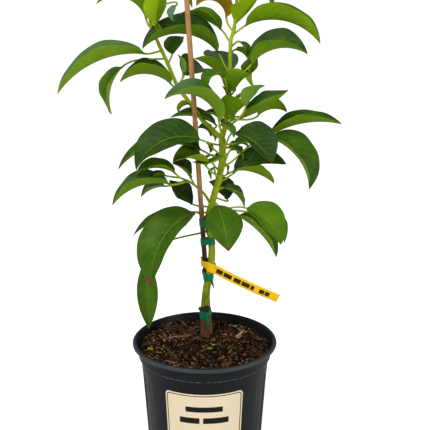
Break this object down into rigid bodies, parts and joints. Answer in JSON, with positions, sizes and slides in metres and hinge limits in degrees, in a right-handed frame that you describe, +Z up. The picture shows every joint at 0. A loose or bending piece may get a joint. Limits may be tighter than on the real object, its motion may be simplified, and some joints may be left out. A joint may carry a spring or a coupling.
{
  "type": "potted avocado tree",
  "caption": "Young grafted avocado tree, tied to a bamboo stake in a round black nursery pot filled with bark mix.",
  "frame": {"origin": "middle of the flat underside of the pot", "axes": "+Z up along the pot, -Y towards the front with the label, +X to the right seen from the front"},
  "size_m": [0.5103, 0.276, 0.9246],
  "materials": {
    "pot_plastic": "satin blow-moulded black plastic, lightly scuffed",
    "label": "matt cream label with a dark border, no lettering",
    "bark_mix": "loose bark potting mix",
    "bark": "smooth green bark, brown at the foot",
    "leaf": "glossy dark top, paler matt underside, pale veins",
    "bamboo": "weathered bamboo cane",
    "tie_tape": "stretched green nursery tape",
    "tag_vinyl": "yellow vinyl band with plain dark marks, no lettering"
  },
  "bodies": {
    "root": {"bamboo_stake": "bamboo", "left_shoot_leaf_01": "leaf", "left_shoot_leaf_02": "leaf", "left_shoot_leaf_03": "leaf", "left_shoot_leaf_04": "leaf", "left_shoot_leaf_05": "leaf", "left_shoot_leaf_06": "leaf", "left_shoot_leaf_07": "leaf", "left_shoot_leaf_08": "leaf", "left_shoot_leaf_09": "leaf", "left_shoot_leaf_10": "leaf", "plant_tag": "tag_vinyl", "pot": "pot_plastic", "pot_label": "label", "right_shoot_leaf_01": "leaf", "right_shoot_leaf_02": "leaf", "right_shoot_leaf_03": "leaf", "right_shoot_leaf_04": "leaf", "right_shoot_leaf_05": "leaf", "right_shoot_leaf_06": "leaf", "right_shoot_leaf_07": "leaf", "right_shoot_leaf_08": "leaf", "right_shoot_leaf_09": "leaf", "right_shoot_leaf_10": "leaf", "right_shoot_leaf_11": "leaf", "right_shoot_leaf_12": "leaf", "right_shoot_leaf_13": "leaf", "right_shoot_leaf_14": "leaf", "right_shoot_leaf_15": "leaf", "right_shoot_leaf_16": "leaf", "right_shoot_leaf_17": "leaf", "side_twig_leaf_01": "leaf", "side_twig_leaf_02": "leaf", "side_twig_leaf_03": "leaf", "side_twig_leaf_04": "leaf", "soil": "bark_mix", "tie_1": "tie_tape", "tie_2": "tie_tape", "tie_3": "tie_tape", "tie_4": "tie_tape", "trunk": "bark", "trunk_leaf_01": "leaf", "trunk_leaf_02": "leaf", "trunk_leaf_03": "leaf", "trunk_leaf_04": "leaf", "trunk_leaf_05": "leaf", "trunk_leaf_06": "leaf", "trunk_leaf_07": "leaf", "trunk_leaf_08": "leaf", "trunk_leaf_09": "leaf", "trunk_leaf_10": "leaf", "trunk_leaf_11": "leaf", "trunk_leaf_12": "leaf", "trunk_leaf_13": "leaf", "trunk_leaf_14": "leaf", "trunk_leaf_15": "leaf", "trunk_leaf_16": "leaf", "trunk_leaf_17": "leaf", "trunk_leaf_18": "leaf", "trunk_leaf_19": "leaf"}
  },
  "joints": []
}
